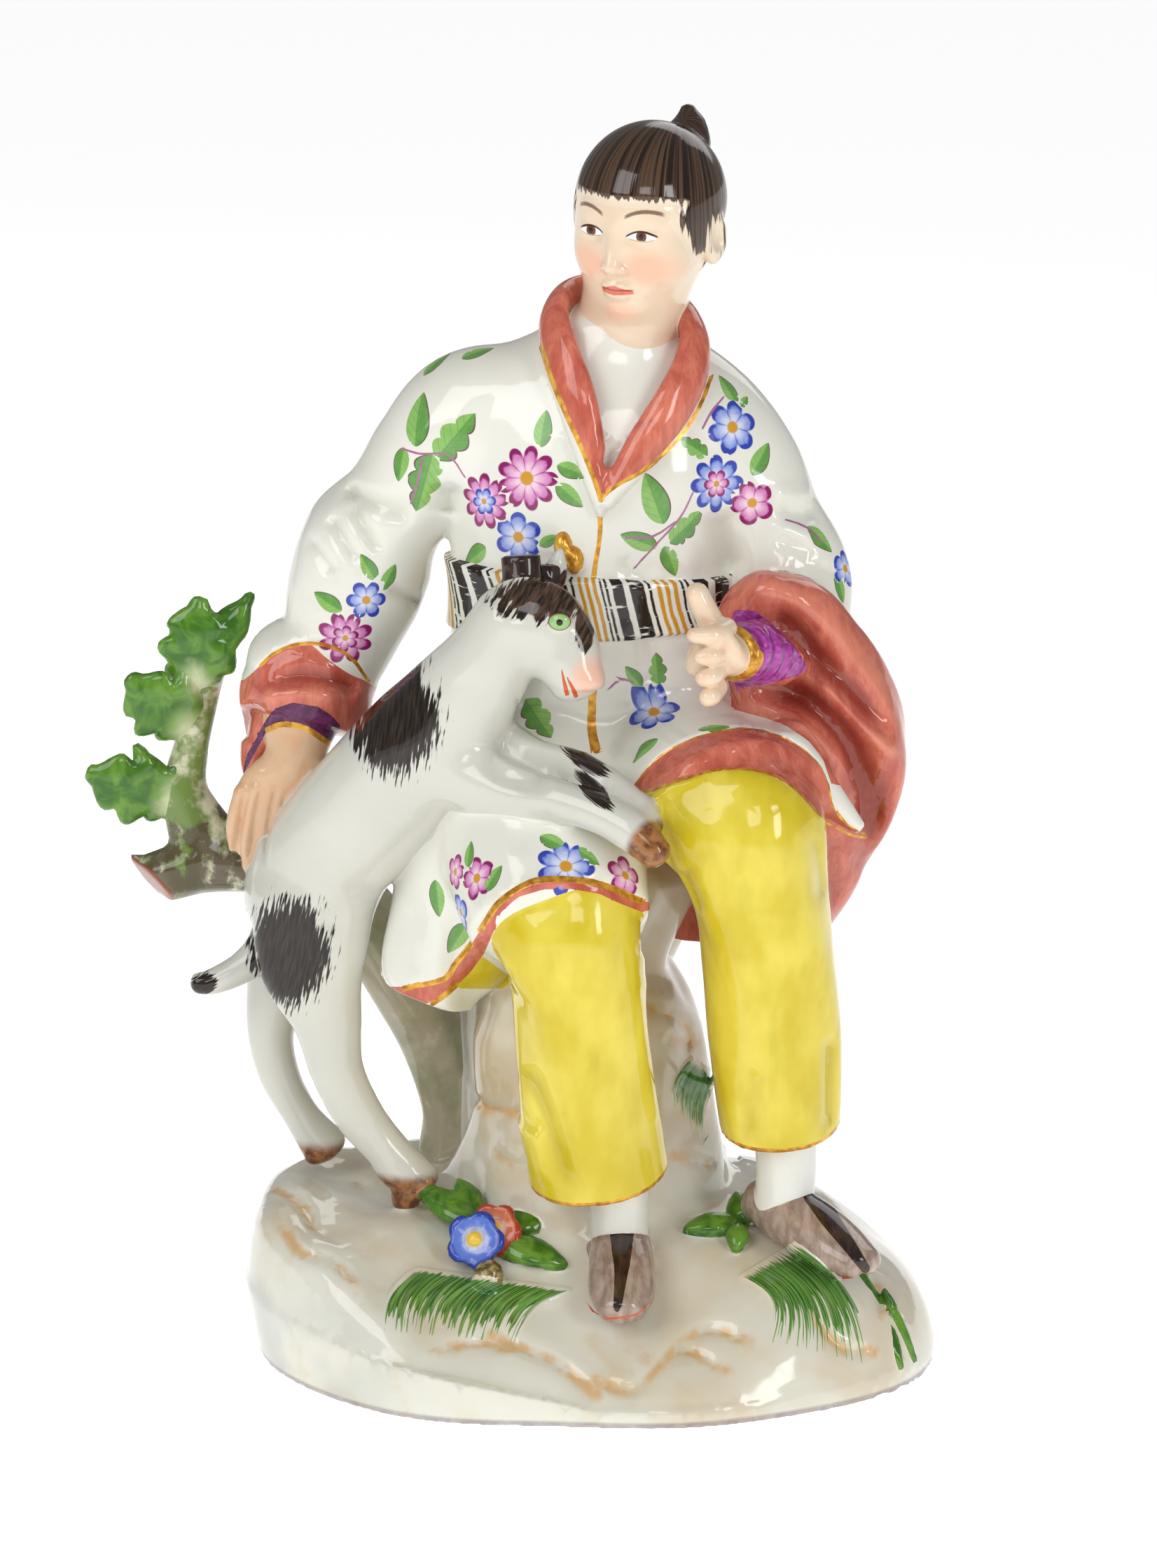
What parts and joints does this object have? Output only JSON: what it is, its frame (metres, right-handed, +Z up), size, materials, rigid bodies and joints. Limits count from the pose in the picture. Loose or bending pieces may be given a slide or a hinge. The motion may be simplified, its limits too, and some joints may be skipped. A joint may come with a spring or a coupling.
{
  "type": "porcelain figure group",
  "caption": "Glazed porcelain figure group: a seated figure in a flowered robe beside a young goat and a leafy branch, on a rocky base.",
  "frame": {"origin": "on the flat underside, at the middle of the rocky base", "axes": "+Z up along the figure's height, -Y towards the front, +X to the viewer's right"},
  "size_m": [0.1199, 0.0736, 0.1752],
  "materials": {
    "glazed_porcelain": "white glazed porcelain, hand painted in enamel colours with gold trim lines"
  },
  "bodies": {
    "root": {"figure_group": "glazed_porcelain"}
  },
  "joints": []
}
